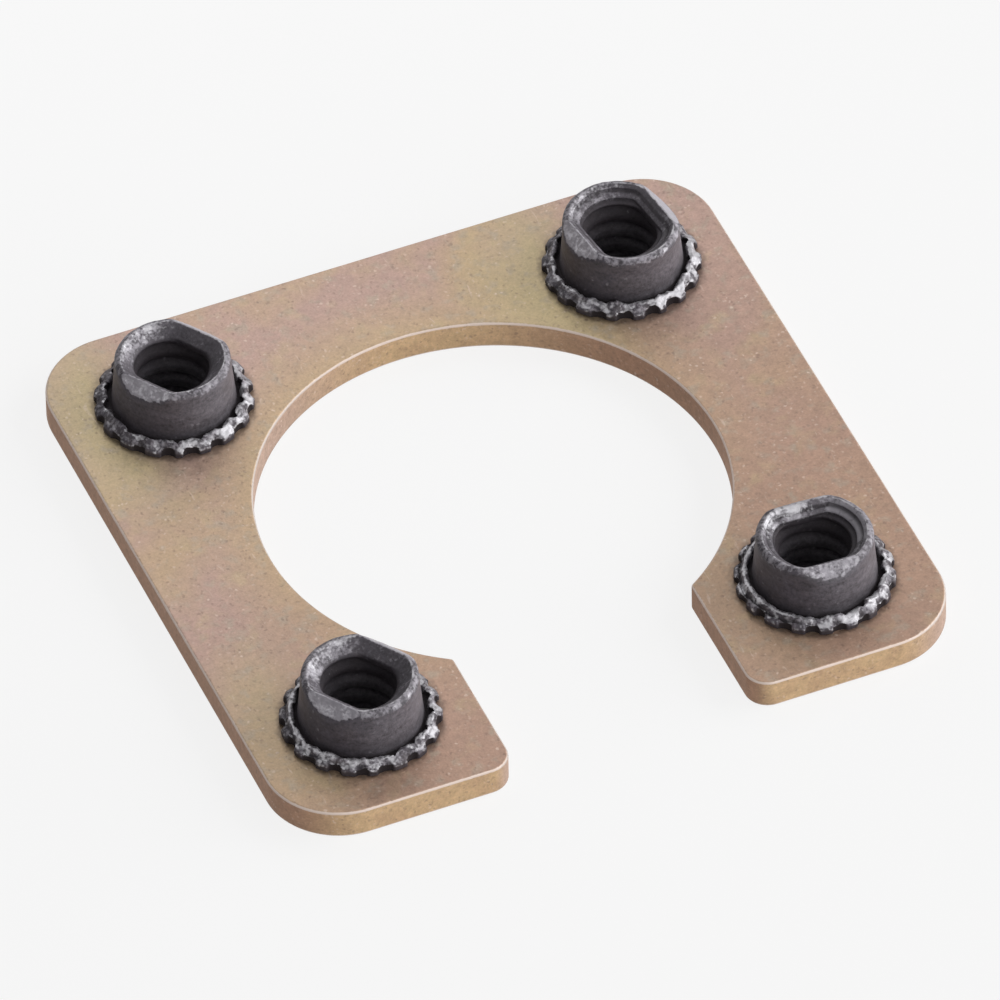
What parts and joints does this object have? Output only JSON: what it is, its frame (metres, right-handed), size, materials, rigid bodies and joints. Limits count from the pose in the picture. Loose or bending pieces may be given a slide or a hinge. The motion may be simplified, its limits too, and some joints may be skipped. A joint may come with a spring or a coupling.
{
  "type": "aircraft nut plate",
  "caption": "Square stamped nut plate with a round opening slotted to one edge and crimped self-locking clinch nuts at its corners.",
  "frame": {"origin": "centre of the square plate on its underside", "axes": "+Z out of the plate along the nuts, -Y towards the open side of the slot, +X across the slot"},
  "size_m": [0.0224, 0.0224, 0.003],
  "materials": {
    "plate_plating": "yellow chromate plating, satin",
    "nut_coating": "dark dry-film coating, worn bright on the knurl"
  },
  "bodies": {
    "root": {"plate": "plate_plating", "nut_rear_left": "nut_coating", "nut_rear_right": "nut_coating", "nut_front_left": "nut_coating", "nut_front_right": "nut_coating"}
  },
  "joints": []
}
